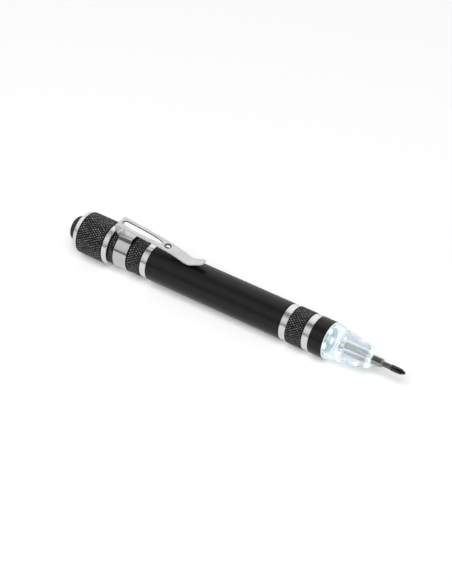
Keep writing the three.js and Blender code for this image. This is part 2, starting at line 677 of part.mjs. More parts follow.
add('switch_contact', turned([
  [xContact, 0], [xContact, CONTACT_HEAD_D / 2], [xContact + CONTACT_HEAD, CONTACT_HEAD_D / 2],
  [xContact + CONTACT_HEAD, CONTACT_PIN_D / 2], [xContact + CONTACT_HEAD + CONTACT_PIN, CONTACT_PIN_D / 2],
  [xContact + CONTACT_HEAD + CONTACT_PIN, 0],
], SMALL_SIDES), finish.brass);
add('button_spring', coil('button_spring', xFlangeFront + SEAT, xHousingFloor - SEAT, BUTTON_COIL_D,
  BUTTON_COIL_D, BUTTON_TURNS, BUTTON_WIRE), finish.nickel);

// Clip band: a ring with a raised flat on top, whose flanks lean down to the ring.
const flank = rad(FLANK);
const flankOff = (SADDLE_W / 2) * Math.sin(flank) + zFlat * Math.cos(flank);

function bandOutline(path, grow) {
  const r = bandR + grow;
  const corner = SADDLE_W / 2 + grow * Math.tan(flank / 2);
  const foot = flank - Math.acos((flankOff + grow) / r);
  path.moveTo(corner, zFlat + grow);
  path.lineTo(-corner, zFlat + grow);
  path.absarc(0, 0, r, Math.PI / 2 + foot, 2.5 * Math.PI - foot);
  path.closePath();
  return path;
}

const bandShape = bandOutline(new THREE.Shape(), CLIP);
bandShape.holes.push(bandOutline(new THREE.Path(), 0));
const bandPrism = new THREE.ExtrudeGeometry(bandShape, {
  depth: xBandFront - xBandRear, bevelEnabled: false, curveSegments: SIDES,
});
const standing = new THREE.Matrix4().makeBasis(
  new THREE.Vector3(0, 1, 0), new THREE.Vector3(0, 0, 1), new THREE.Vector3(1, 0, 0));
const band = solidOf(bandPrism.applyMatrix4(standing).translate(xBandRear, 0, 0));

function arc(cx, cz, from, to) {
  return Array.from({ length: ARC_STEPS + 1 }, (_, i) => {
    const a = from + ((to - from) * i) / ARC_STEPS;
    return new THREE.Vector2(cx + FOLD * Math.cos(a), cz + FOLD * Math.sin(a));
  });
}

const tongueLine = [
  new THREE.Vector2(xBandFront, zTongue),
  ...arc(xNeck + FOLD, zTongue + FOLD, 1.5 * Math.PI, Math.PI),
  new THREE.Vector2(xNeck, zFoot),
];
add('clip_band', band.add(alongY(strip(tongueLine, CLIP), SADDLE_W)), finish.clip);

// Clip arm: the neck folds over into a bowed arm that dips to a crease and lifts at the toe. Its plan is cut
// to a tapered outline with a teardrop window and a round hole.
const armTop = new THREE.Vector2(xNeck + FOLD, zArm);
const armHole = new THREE.Vector2(xNeck + HOLE_AT, barrelR + HOLE_RISE - CLIP / 2);
const crease = new THREE.Vector2(xNeck + BUMP_AT, barrelR + BUMP_GAP + CLIP / 2);
const toe = new THREE.Vector2(xNeck + TOE_AT, barrelR + TOE_RISE - CLIP / 2);
const beforeCrease = armHole.clone().sub(crease).setLength(BUMP_ROUND).add(crease);
const afterCrease = toe.clone().sub(crease).setLength(BUMP_ROUND).add(crease);
const bow = new THREE.SplineCurve([armTop, armHole, beforeCrease]);
const bend = new THREE.QuadraticBezierCurve(beforeCrease, crease, afterCrease);
const armLine = [
  new THREE.Vector2(xNeck, zFoot + EASE),
  ...arc(xNeck + FOLD, zArm - FOLD, Math.PI, Math.PI / 2),
  ...bow.getPoints(ARM_STEPS).slice(1),
  ...bend.getPoints(ARC_STEPS).slice(1),
  toe,
];
const plan = new THREE.Shape();
const xToe = xNeck + TOE_AT;
plan.moveTo(xNeck - CLIP, ARM_W / 2);
plan.lineTo(xNeck - CLIP, -ARM_W / 2);
plan.lineTo(xNeck + BUMP_AT, -BUMP_W / 2);
plan.lineTo(xToe - TOE_ROUND, -TOE_W / 2);
plan.quadraticCurveTo(xToe, -TOE_W / 2, xToe, TOE_ROUND - TOE_W / 2);
plan.lineTo(xToe, TOE_W / 2 - TOE_ROUND);
plan.quadraticCurveTo(xToe, TOE_W / 2, xToe - TOE_ROUND, TOE_W / 2);
plan.lineTo(xNeck + BUMP_AT, BUMP_W / 2);
plan.closePath();
const windowPath = new THREE.Path();
const windowR = WINDOW_W / 2;
windowPath.absarc(xNeck + WINDOW_FROM + windowR, 0, windowR, Math.PI / 2, 1.5 * Math.PI);
const xWindowTip = xNeck + WINDOW_TO - WINDOW_POINT;
windowPath.lineTo(xNeck + WINDOW_CLOSE, -windowR);
windowPath.quadraticCurveTo(xNeck + WINDOW_AIM, -windowR, xWindowTip, -WINDOW_POINT);
windowPath.absarc(xWindowTip, 0, WINDOW_POINT, -Math.PI / 2, Math.PI / 2);
windowPath.quadraticCurveTo(xNeck + WINDOW_AIM, windowR, xNeck + WINDOW_CLOSE, windowR);
windowPath.closePath();
const holePath = new THREE.Path();
holePath.absarc(xNeck + HOLE_AT, 0, HOLE_D / 2, 0, 2 * Math.PI);
plan.holes.push(windowPath, holePath);
const armStrip = alongY(strip(armLine, CLIP), ARM_W + BEYOND);
const armPlan = alongZ(plan, 0, zArm + BEYOND);
add('clip_arm', armStrip.intersect(armPlan), finish.clip);

// The pen lies with the tail cap on the ground and its middle over the origin.
pen.position.set(-(xButtonEnd + xBitTip) / 2, 0, capR * Math.cos(rad(REST) / 2));

export default pen;
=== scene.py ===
import math
from collections import namedtuple

import bpy
from mathutils import Matrix, Vector


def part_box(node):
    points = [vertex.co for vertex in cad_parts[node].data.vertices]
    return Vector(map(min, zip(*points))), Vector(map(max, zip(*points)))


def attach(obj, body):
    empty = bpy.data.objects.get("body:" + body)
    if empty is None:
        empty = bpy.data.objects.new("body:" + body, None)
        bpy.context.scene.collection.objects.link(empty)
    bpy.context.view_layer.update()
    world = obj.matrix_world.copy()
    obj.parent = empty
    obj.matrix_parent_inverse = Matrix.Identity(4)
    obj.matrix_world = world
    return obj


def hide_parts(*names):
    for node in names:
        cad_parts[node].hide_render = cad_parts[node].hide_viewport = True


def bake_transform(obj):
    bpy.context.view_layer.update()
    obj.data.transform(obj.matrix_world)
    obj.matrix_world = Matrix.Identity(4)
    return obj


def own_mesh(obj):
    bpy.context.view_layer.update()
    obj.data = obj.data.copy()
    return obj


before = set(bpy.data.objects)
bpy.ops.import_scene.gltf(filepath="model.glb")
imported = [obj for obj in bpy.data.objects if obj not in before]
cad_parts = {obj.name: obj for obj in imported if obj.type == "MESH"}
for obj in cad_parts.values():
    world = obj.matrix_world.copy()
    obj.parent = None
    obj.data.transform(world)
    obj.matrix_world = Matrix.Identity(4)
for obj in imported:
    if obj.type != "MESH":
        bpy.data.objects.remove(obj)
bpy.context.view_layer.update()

# Barrel: one tube turned from aluminium, with two knurled bands, a bright-cut ring, the groove for the
# clip and a threaded neck for the tail cap. It is anodised black, and the ring is cut bright afterwards.
# Stations run in millimetres from the front face of the sleeve, and radii from the pen's axis.
MM = 0.001
sleeve_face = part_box("front_sleeve")[1].x
axis_z = (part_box("contact_rod")[0].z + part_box("contact_rod")[1].z) / 2
running_gap = 0.1
seat_gap = 0.1
barrel_r = 6.503
bore_r = barrel_r - 1.1
mouth_r = 5.6
ring_r = barrel_r - 0.1
knurl_root = barrel_r - 0.11
clip_seat_r = barrel_r - 0.3
neck_r = barrel_r - 0.3
outside_r = bore_r + 0.5
ring_width = 2.4
plain_length = 54.4
rear_grip = 5.6
clip_seat = 5.7
shoulder = 2.3
cap_neck = 6.0
sleeve_rear = -16.5
barrel_front = sleeve_rear - seat_gap
ring_front = sleeve_rear - plain_length
ring_rear = ring_front - ring_width
grip_rear = ring_rear - rear_grip
seat_rear = grip_rear - clip_seat
shoulder_rear = seat_rear - shoulder
barrel_rear = shoulder_rear - cap_neck
neck_thread = (shoulder_rear - 0.3, barrel_rear + 0.3)
bore_thread = (barrel_front - 0.4, barrel_front - 6.0)
bore_middle = -50.0
plain_step = 4.0
step_wall = 0.05
thread_lead = 1.0
thread_step = thread_lead / 8
thread_depth = 0.28
thread_crest = 0.2
thread_fade = 0.5
knurl_count = 44
knurl_step = 1.4
knurl_inset = 0.2
knurl_rise = 0.19
bright_index = 1
wear_and_highlight_index = 2


def at(x, y, z):
    return Vector((sleeve_face + x * MM, y * MM, axis_z + z * MM))


def station(point):
    return (point.x - sleeve_face) / MM


def radius(point):
    return math.hypot(point.y, point.z - axis_z) / MM


def steps(start, end, step):
    count = max(1, round(abs(end - start) / step))
    return [start + (end - start) * i / count for i in range(count + 1)]


def band(start, end, r, step):
    return [(x, r) for x in steps(start, end, step)]


def activate(piece):
    bpy.ops.object.select_all(action="DESELECT")
    piece.select_set(True)
    bpy.context.view_layer.objects.active = piece


def settle(piece, weld=0.001):
    activate(piece)
    bpy.ops.object.mode_set(mode="EDIT")
    bpy.ops.mesh.select_all(action="SELECT")
    bpy.ops.mesh.remove_doubles(threshold=weld * MM)
    bpy.ops.mesh.normals_make_consistent(inside=False)
    bpy.ops.object.mode_set(mode="OBJECT")


def turned(name, profile, sides):
    bpy.ops.object.select_all(action="DESELECT")
    from_axis = profile[0][1] == 0
    if from_axis:
        profile = profile[1:]
    x, r = profile[0]
    bpy.ops.mesh.primitive_circle_add(
        vertices=sides, radius=r * MM, rotation=(0, math.pi / 2, 0), location=at(x, 0, 0),
    )
    piece = bpy.context.object
    piece.name = piece.data.name = name
    bpy.ops.object.transform_apply(location=True, rotation=True, scale=True)
    bpy.ops.object.mode_set(mode="EDIT")
    if from_axis:
        bpy.ops.mesh.edge_face_add()
        bpy.ops.mesh.select_mode(type="EDGE")
    for next_x, next_r in profile[1:] if from_axis else profile[1:] + profile[:1]:
        if next_r == 0:
            bpy.ops.mesh.edge_face_add()
            break
        bpy.ops.mesh.extrude_edges_move(TRANSFORM_OT_translate={"value": ((next_x - x) * MM, 0, 0)})
        if next_r != r:
            scale = next_r / r
            bpy.ops.transform.resize(value=(1, scale, scale), center_override=(0, 0, axis_z))
        x, r = next_x, next_r
    bpy.ops.object.mode_set(mode="OBJECT")
    settle(piece)
    return piece


barrel = turned("barrel_tube", [
    (barrel_front, mouth_r), (barrel_front, barrel_r - 0.143), (barrel_front - 0.15, barrel_r - 0.033),
    (barrel_front - 0.35, barrel_r),
    *band(barrel_front - 0.9, ring_front + 0.1, barrel_r, plain_step), (ring_front, barrel_r - 0.023),
    (ring_front - step_wall, ring_r), (ring_rear + step_wall, ring_r),
    *band(ring_rear, grip_rear, knurl_root, knurl_step),
    (grip_rear - step_wall, clip_seat_r), (seat_rear + step_wall, clip_seat_r),
    *band(seat_rear, shoulder_rear, knurl_root, knurl_step), (shoulder_rear - 0.02, neck_r),
    *band(*neck_thread, neck_r, thread_step), (barrel_rear, neck_r - 0.303),
    (barrel_rear, mouth_r), (barrel_rear + 0.2, bore_r), (bore_middle, bore_r),
    *reversed(band(*bore_thread, bore_r, thread_step)),
], knurl_count)


def pick(piece, test, kind="FACE"):
    bpy.ops.object.mode_set(mode="EDIT")
    bpy.ops.mesh.select_mode(type=kind)
    bpy.ops.mesh.select_all(action="DESELECT")
    bpy.ops.object.mode_set(mode="OBJECT")
    for element in piece.data.polygons if kind == "FACE" else piece.data.edges:
        element.select = test(element)
    bpy.ops.object.mode_set(mode="EDIT")


# A knurl is cut from a band of squares: each is poked, its sides are dissolved so that diamonds are left,
# and every diamond is raised to a small flat crest. The triangles at the two ends are raised half as far.
# The crests take a lighter finish: partly wear, partly a painted highlight.
def knurled(piece, start, end):
    mesh = piece.data
    plain_count = len(mesh.vertices)

    def on_band(face):
        level = abs(face.normal.x) < 0.2
        return level and end < station(face.center) < start and radius(face.center) > outside_r

    pick(piece, on_band)
    bpy.ops.mesh.poke()
    bpy.ops.object.mode_set(mode="OBJECT")
    corners = [(station(v.co), radius(v.co)) for v in mesh.vertices]

    def grid_edge(edge):
        a, b = edge.vertices
        if max(a, b) >= plain_count:
            return False
        (xa, ra), (xb, rb) = corners[a], corners[b]
        if min(ra, rb) < outside_r or abs(ra - rb) > 0.01:
            return False
        return end + 0.01 < (xa + xb) / 2 < start - 0.01

    pick(piece, grid_edge, "EDGE")
    bpy.ops.mesh.dissolve_edges(use_verts=False)
    bpy.ops.object.mode_set(mode="OBJECT")
    pick(piece, lambda face: on_band(face) and len(face.vertices) == 4)
    bpy.ops.mesh.inset(thickness=knurl_inset * MM, depth=knurl_rise * MM, use_individual=True)
    bpy.ops.object.mode_set(mode="OBJECT")
    # The crests get the lighter finish, partly wear and partly painted highlight.
    for face in mesh.polygons:
        if face.select:
            face.material_index = wear_and_highlight_index
    pick(piece, lambda face: on_band(face) and len(face.vertices) == 3)
    bpy.ops.mesh.inset(thickness=knurl_inset / 2 * MM, depth=knurl_rise / 2 * MM, use_individual=True)
    bpy.ops.object.mode_set(mode="OBJECT")


# A thread is pressed into a band of close rings: a helical groove with a narrow flat crest, which fades
# out at both ends. The depth is below zero on the outside of a tube, and above it in a bore.
def threaded(piece, start, end, crest_r, depth):
    for vertex in piece.data.vertices:
        x, r = station(vertex.co), radius(vertex.co)
        if end <= x <= start and abs(r - crest_r) < 0.02:
            turn = math.atan2(vertex.co.y, vertex.co.z - axis_z) / (2 * math.pi)
            phase = ((start - x) / thread_lead + turn) % 1
            groove = max(0.0, (1 - abs(2 * phase - 1) - thread_crest) / (1 - thread_crest))
            fade = min(1, (start - x) / thread_fade, (x - end) / thread_fade)
            scale = (r + depth * groove * fade) / r
            vertex.co.y *= scale
            vertex.co.z = axis_z + (vertex.co.z - axis_z) * scale


def smooth(piece, degrees=10):
    activate(piece)
    bpy.ops.object.shade_smooth_by_angle(angle=math.radians(degrees))


knurled(barrel, ring_rear, grip_rear)
knurled(barrel, seat_rear, shoulder_rear)
threaded(barrel, *neck_thread, neck_r, -thread_depth)
threaded(barrel, *bore_thread, bore_r, thread_depth)
smooth(barrel)


class Wire:
    def __init__(self, nodes, socket):
        self.nodes = nodes
        self.socket = socket

    def __add__(self, other):
        return self.nodes.math("ADD", self, other)

    def __sub__(self, other):
        return self.nodes.math("SUBTRACT", self, other)

    def __rsub__(self, other):
        return self.nodes.math("SUBTRACT", other, self)

    def __mul__(self, other):
        return self.nodes.math("MULTIPLY", self, other)

    def __truediv__(self, other):
        return self.nodes.math("DIVIDE", self, other)

    def __rtruediv__(self, other):
        return self.nodes.math("DIVIDE", other, self)

    __radd__ = __add__
    __rmul__ = __mul__


class Nodes:
    def __init__(self, tree):
        self.tree = tree

    def set(self, node, values):
        for key, value in values.items():
            socket = node.inputs[key] if isinstance(key, int) else self.socket(node, key.replace("_", " "))
            if isinstance(value, Wire):
                self.tree.links.new(value.socket, socket)
            else:
                socket.default_value = value

    def socket(self, node, name):
        return next(s for s in node.inputs if s.enabled and s.name == name)

    def node(self, kind, settings=None, values=None):
        node = self.tree.nodes.new(kind)
        for key, value in (settings or {}).items():
            if key == "stops":
                for i, (where, colour) in enumerate(value):
                    stop = node.color_ramp.elements[i] if i < 2 else node.color_ramp.elements.new(where)
                    stop.position, stop.color = where, colour
            else:
                setattr(node, key, value)
        self.set(node, values or {})
        return {s.name: Wire(self, s) for s in node.outputs if s.enabled}

    def math(self, operation, a, b=0.0):
        return self.node("ShaderNodeMath", {"operation": operation}, {0: a, 1: b})["Value"]

    def mix(self, factor, a, b):
        settings = {"data_type": "RGBA"}
        return self.node("ShaderNodeMix", settings, {"Factor": factor, "A": a, "B": b})["Result"]

    def ramp(self, factor, low, high):
        stops = [(low, (0, 0, 0, 1)), (high, (1, 1, 1, 1))]
        return self.node("ShaderNodeValToRGB", {"stops": stops}, {"Fac": factor})["Color"]


class Finish(Nodes):
    def __init__(self, name, **constants):
        self.material = bpy.data.materials.new(name)
        self.material.use_nodes = True
        super().__init__(self.material.node_tree)
        self.shader = self.tree.nodes["Principled BSDF"]
        self.place = self.node("ShaderNodeTexCoord")["Object"]
        self.set(self.shader, constants)

    def wear(self, **values):
        self.set(self.shader, values)
        return self

    def noise(self, scale, detail, vector=None):
        wanted = {"Vector": vector or self.place, "Scale": scale, "Detail": detail}
        return self.node("ShaderNodeTexNoise", None, wanted)["Fac"]

    def across(self):
        split = self.node("ShaderNodeSeparateXYZ", None, {"Vector": self.place})
        return split["X"], split["Y"], split["Z"] - axis_z

    def lines(self, scale):
        x, _, _ = self.across()
        along = self.node("ShaderNodeCombineXYZ", None, {"X": x})["Vector"]
        return self.noise(scale, 2.0, along)

    def bump(self, height, distance, strength):
        values = {"Height": height, "Distance": distance * MM, "Strength": strength}
        return self.node("ShaderNodeBump", None, values)["Normal"]


def black_anodising():
    black = Finish("black_anodised", IOR=1.5, Specular_IOR_Level=0.35)
    cloud = black.noise(scale=160.0, detail=4.0)
    grain = black.noise(scale=9000.0, detail=2.0)
    turning = black.lines(scale=7000.0)
    tone = black.mix(cloud, (0.003, 0.003, 0.0034, 1), (0.007, 0.007, 0.0078, 1))
    black.wear(Base_Color=tone, Roughness=0.24 + 0.1 * grain + 0.06 * cloud)
    return black.wear(Normal=black.bump(turning * 0.6 + grain * 0.4, distance=0.01, strength=0.35))


# Knurl crests: light grey patches on the dark anodising, partly wear and partly painted highlight specks.
def wear_and_highlight_anodising():
    crest_wear_and_highlight = Finish("wear_and_highlight_knurl_crests", IOR=1.5, Metallic=0.5)
    wear_and_highlight_patch = crest_wear_and_highlight.ramp(crest_wear_and_highlight.noise(scale=1800.0, detail=2.0), low=0.4, high=0.6)
    grain = crest_wear_and_highlight.noise(scale=9000.0, detail=2.0)
    tone = crest_wear_and_highlight.mix(wear_and_highlight_patch, (0.045, 0.045, 0.046, 1), (0.38, 0.38, 0.385, 1))
    return crest_wear_and_highlight.wear(Base_Color=tone, Roughness=0.24 + 0.14 * grain)


def bright_cutting():
    bright = Finish("bright_cut", Metallic=1.0)
    turning = bright.lines(scale=9000.0)
    cloud = bright.noise(scale=300.0, detail=3.0)
    tone = bright.mix(turning, (0.8, 0.803, 0.806, 1), (0.97, 0.97, 0.97, 1))
    bright.wear(Base_Color=tone, Roughness=0.17 + 0.1 * turning + 0.06 * cloud)
    return bright.wear(Normal=bright.bump(turning, distance=0.02, strength=0.3))


anodised = black_anodising()
bright_cut = bright_cutting()
wear_and_highlight_crest = wear_and_highlight_anodising()


def coated(piece, *finishes):
    for finish in finishes:
        piece.data.materials.append(finish.material)


def finished(piece, body, slot, *nodes):
    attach(piece, body)
    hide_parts(*nodes)


def cut_bright(piece, *spans):
    for face in piece.data.polygons:
        x = station(face.center)
        if radius(face.center) > outside_r and any(end < x < start for start, end in spans):
            face.material_index = bright_index


coated(barrel, anodised, bright_cut, wear_and_highlight_crest)
finished(barrel, "barrel", "black_anodised", "barrel")
cut_bright(barrel, (ring_front - 0.01, ring_rear + 0.02))

# Cells: three button cells in a moulded sleeve, pressed against a brass plate that the contact rod meets.
# The cells are nickel-plated steel cans with a smaller pole at one end, and the sleeve slides in the bore.


def plated(name, dark, light, rough):
    plate = Finish(name, Metallic=1.0)
    cloud = plate.noise(scale=500.0, detail=4.0)
    rub = plate.noise(scale=6000.0, detail=2.0)
    plate.wear(Base_Color=plate.mix(cloud, dark, light), Roughness=rough + 0.14 * rub + 0.08 * cloud)
    return plate.wear(Normal=plate.bump(rub, distance=0.01, strength=0.3))


def moulded(name, dark, light, rough):
    plastic = Finish(name, IOR=1.49)
    cloud = plastic.noise(scale=220.0, detail=3.0)
    spark = plastic.noise(scale=7000.0, detail=2.0)
    plastic.wear(Base_Color=plastic.mix(cloud, dark, light), Roughness=rough + 0.16 * spark)
    return plastic.wear(Normal=plastic.bump(spark, distance=0.02, strength=0.35))


nickel = plated("nickel_plate", (0.5, 0.49, 0.48, 1), (0.72, 0.71, 0.69, 1), rough=0.2)
brass = plated("bare_brass", (0.52, 0.34, 0.12, 1), (0.78, 0.56, 0.24, 1), rough=0.24)
ivory = moulded("ivory_plastic", (0.66, 0.64, 0.56, 1), (0.76, 0.745, 0.67, 1), rough=0.42)


def dress(finish, *nodes):
    for name in nodes:
        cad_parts[name].material_slots[0].material = finish.material


dress(nickel, "cell_1", "cell_2", "cell_3")
dress(brass, "contact_plate")
dress(ivory, "cell_sleeve")

# Clip: one strip of polished spring steel. A band with a raised flat grips the barrel's groove. The flat
# runs back as a tongue, folds up as the neck and over into the bowed arm. The arm has a punched teardrop
# window and a countersunk hole, dips to a crease and lifts at the toe, and the strip's edges are broken.
sheet = 0.5
edge_break = 0.06
band_mid_r = clip_seat_r + running_gap + sheet / 2
band_rear = seat_rear + 0.15
band_front = grip_rear - 0.15
flat_under = barrel_r + 0.5
flat_z = flat_under + sheet / 2
flat_half = 1.9
flat_corner = 2.044
flank_lean = math.radians(60)
inner_line = 0.9
bend_line = 0.7
neck_x = -85.75
neck_foot = 8.5
spread_from = 8.4
spread_over = 1.4
fold = 0.8
arm_z = 11.653
arm_under = 8.6
arm_wide = 2.7
crease_wide = 1.95
toe_wide = 1.55
toe_corner = 0.8
hole_x = -65.45
hole_r = 0.85
sink_r = 1.3
crease_x = -56.25
crease_run = 1.5
toe_x = -50.35
window_rear = -83.1
window_r = 1.25
window_close = -76.75
window_aim = -69.25
window_front = -67.85
window_tip_r = 0.3
arm_top = Vector((neck_x + fold, arm_z))
arm_hole = Vector((hole_x, barrel_r + 3.05))
crease = Vector((crease_x, barrel_r + 0.6))
toe = Vector((toe_x, barrel_r + 3.15))
crease_in = crease + (arm_hole - crease).normalized() * crease_run
crease_out = crease + (toe - crease).normalized() * crease_run


def through(points, count):
    line = []
    last = len(points) - 1
    for i in range(last):
        p1, p2 = points[i], points[i + 1]
        leave = (p2 - points[max(i - 1, 0)]) / 2
        arrive = (points[min(i + 2, last)] - p1) / 2
        cubic = 2 * p1 - 2 * p2 + leave + arrive
        square = 3 * p2 - 3 * p1 - 2 * leave - arrive
        for t in steps(0, 1, 1 / count)[:-1]:
            line.append(cubic * t ** 3 + square * t ** 2 + leave * t + p1)
    return line + [points[-1]]


arm_line = through([arm_top, arm_hole, crease_in], 40)
for t in steps(0, 1, 0.1)[1:]:
    arm_line.append(crease_in * (1 - t) ** 2 + crease * 2 * t * (1 - t) + crease_out * t ** 2)
arm_line.append(toe)


def arm_height(x):
    for a, b in zip(arm_line, arm_line[1:]):
        if x <= b.x:
            return a.y + (b.y - a.y) * (x - a.x) / (b.x - a.x)
    return toe.y


def round_half(r, off):
    return math.sqrt(max(0, r ** 2 - off ** 2))


def arm_half(x):
    toe_start = toe_x - toe_corner
    if x > toe_start:
        return toe_wide - toe_corner + round_half(toe_corner, x - toe_start)
    if x > crease_x:
        return crease_wide + (toe_wide - crease_wide) * (x - crease_x) / (toe_start - crease_x)
    return arm_wide + (crease_wide - arm_wide) * (x - neck_x) / (crease_x - neck_x)


def opening_half(x):
    if window_rear - window_r <= x <= window_rear:
        return round_half(window_r, x - window_rear)
    if window_rear < x <= window_close:
        return window_r
    if window_close < x <= window_front:
        a = window_close - 2 * window_aim + window_front
        b = 2 * (window_aim - window_close)
        t = (math.sqrt(b * b - 4 * a * (window_close - x)) - b) / (2 * a)
        return window_r * (1 - t * t) + window_tip_r * t * t
    if window_front < x <= window_front + window_tip_r:
        return round_half(window_tip_r, x - window_front)
    if abs(x - hole_x) <= hole_r:
        return round_half(hole_r, x - hole_x)
    return None


# The tongue, the neck and the arm are rows of four points across: edge, inner line, inner line, edge.
# Where the arm is open, the inner lines are the edges of the opening.
quarter = math.pi / 2
Row = namedtuple("Row", "x z half inner opened")
rows = [Row(band_rear, flat_z, flat_half, inner_line, False)]
for a in steps(3 * quarter, 2 * quarter, 0.3):
    x = neck_x + fold + fold * math.cos(a)
    rows.append(Row(x, flat_z + fold + fold * math.sin(a), flat_half, inner_line, False))
for z in steps(neck_foot, arm_z - fold - 0.25, 0.4):
    t = min(1, max(0, (z - spread_from) / spread_over))
    half = flat_half + (arm_wide - flat_half) * t * t * (3 - 2 * t)
    rows.append(Row(neck_x, z, half, inner_line, False))
for a in steps(2 * quarter, quarter, 0.2):
    x = neck_x + fold + fold * math.cos(a)
    rows.append(Row(x, arm_z - fold + fold * math.sin(a), arm_wide, bend_line, False))
places = [window_rear - window_r * math.cos(a) for a in steps(0, quarter, 0.2)]
places += steps(window_rear + 0.6, window_front - 0.3, 0.8)
places += [window_front + window_tip_r * math.sin(a) for a in steps(0, quarter, 0.4)]
places += [hole_x - hole_r * math.cos(a) for a in steps(0, 2 * quarter, 0.2)]
places += steps(hole_x + hole_r + 0.7, crease_in.x, 0.8)
places += steps(crease_in.x + 0.2, crease_out.x, 0.25)
places += steps(crease_out.x + 0.5, toe_x - toe_corner, 0.7)
places += [toe_x - toe_corner * (1 - math.sin(a)) for a in (0.25, 0.5, 0.75, 1.0, quarter)]
for x in places:
    gap = opening_half(x)
    half = arm_half(x)
    rows.append(Row(x, arm_height(x), half, 0.45 * half if gap is None else gap, gap is not None))
points = []
for row in rows:
    points += [at(row.x, y, row.z) for y in (-row.half, -row.inner, row.inner, row.half)]
faces = []
hair = 1e-6
for i, (here, ahead) in enumerate(zip(rows, rows[1:])):
    bridge = here.x > window_front + window_tip_r - hair and ahead.x < hole_x - hole_r + hair
    for k in range(3):
        if k != 1 or bridge or not (here.opened and ahead.opened):
            a = 4 * i + k
            faces.append((a, a + 1, a + 5, a + 4))

# The band's outline: the flat, down one flank, round the ring and up the other flank.
flank_off = flat_half * math.sin(flank_lean) + flat_under * math.cos(flank_lean) + sheet / 2
foot_angle = flank_lean - math.acos(flank_off / band_mid_r)
ring = [(band_mid_r * math.sin(a), band_mid_r * math.cos(a))
        for a in steps(foot_angle, 2 * math.pi - foot_angle, 0.1)]
foot_y, foot_z = ring[0]
flank = [(flat_corner + (foot_y - flat_corner) * t, flat_z + (foot_z - flat_z) * t)
         for t in (0.25, 0.5, 0.75)]
outline = [(y, flat_z) for y in (-flat_corner, -flat_half, -inner_line, inner_line, flat_half, flat_corner)]
outline += flank + ring + [(-y, z) for y, z in reversed(flank)]
first = len(points)
count = len(outline)
for x in (band_rear, (band_rear + band_front) / 2, band_front):
    points += [at(x, y, z) for y, z in outline]
for i in range(2):
    for k in range(count):
        a = first + i * count + k
        b = first + i * count + (k + 1) % count
        faces.append((a, b, b + count, a + count))
strip = bpy.data.meshes.new("pocket_clip")
strip.from_pydata(points, [], faces)
clip = bpy.data.objects.new("pocket_clip", strip)
bpy.context.collection.objects.link(clip)


def modified(piece, kind, **settings):
    activate(piece)
    modifier = piece.modifiers.new(kind, kind)
    for key, value in settings.items():
        setattr(modifier, key, value)
    bpy.ops.object.modifier_apply(modifier=modifier.name)


def combined(piece, tool, operation):
    modified(piece, "BOOLEAN", object=tool, operation=operation, solver="EXACT")
    bpy.data.objects.remove(tool)


def bevelled(piece, width, segments, degrees, **more):
    modified(
        piece, "BEVEL", width=width * MM, segments=segments, limit_method="ANGLE",
        angle_limit=math.radians(degrees), **more,
    )


settle(clip)
modified(clip, "SOLIDIFY", thickness=sheet * MM, offset=0.0, use_even_offset=True)
settle(clip, weld=0.005)
bevelled(clip, edge_break, segments=2, degrees=50, loop_slide=False, use_clamp_overlap=False)
hole_lean = math.atan(arm_height(hole_x - 0.5) - arm_height(hole_x + 0.5))
bpy.ops.object.select_all(action="DESELECT")
bpy.ops.mesh.primitive_cone_add(
    vertices=48, radius1=(hole_r - 0.2) * MM, radius2=(sink_r + 0.1) * MM, depth=(sheet + 0.2) * MM,
    rotation=(0, hole_lean, 0), location=at(hole_x, 0, arm_height(hole_x)),
)
sink = bpy.context.object
bpy.ops.object.transform_apply(location=True, rotation=True, scale=True)
combined(clip, sink, "DIFFERENCE")
settle(clip)
smooth(clip, degrees=19)


def polished_steel():
    steel = Finish("polished_clip_steel", Metallic=1.0)
    cloud = steel.noise(scale=260.0, detail=3.0)
    along_strip = {"Vector": steel.place, "Scale": (300.0, 9000.0, 9000.0)}
    scratch = steel.noise(1.0, 3.0, steel.node("ShaderNodeMapping", None, along_strip)["Vector"])
    tone = steel.mix(cloud, (0.62, 0.62, 0.63, 1), (0.78, 0.78, 0.785, 1))
    steel.wear(Base_Color=tone, Roughness=0.1 + 0.09 * scratch + 0.05 * cloud)
    return steel.wear(Normal=steel.bump(scratch, distance=0.01, strength=0.25))


# Walls of the window and the hole: rough like a sheared edge, and painted nearly black, which is painted
# shade in the openings.
def sheared_and_shaded_edge():
    edge = Finish("punched_and_shaded_edge", Metallic=1.0)
    tear = edge.noise(scale=4000.0, detail=3.0)
    tone = edge.mix(tear, (0.07, 0.07, 0.072, 1), (0.17, 0.17, 0.175, 1))
    return edge.wear(Base_Color=tone, Roughness=0.4 + 0.2 * tear)


def punched(face):
    x = station(face.center)
    on_arm = (face.center.z - axis_z) / MM > arm_under and abs(face.normal.z) < 0.9
    by_opening = window_rear - window_r - 0.2 < x < hole_x + sink_r + 0.2
    return on_arm and by_opening and abs(face.center.y) / MM < arm_half(x) - 0.3


clip_steel = polished_steel()
punched_and_shaded_edge = sheared_and_shaded_edge()
coated(clip, clip_steel, punched_and_shaded_edge)
# The walls of the window and the hole get the sheared edge finish with its painted shade.
for face in clip.data.polygons:
    face.material_index = 1 if punched(face) else 0
foot = at(neck_x, 0, neck_foot)
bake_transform(clip)
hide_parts("clip_band", "clip_arm")

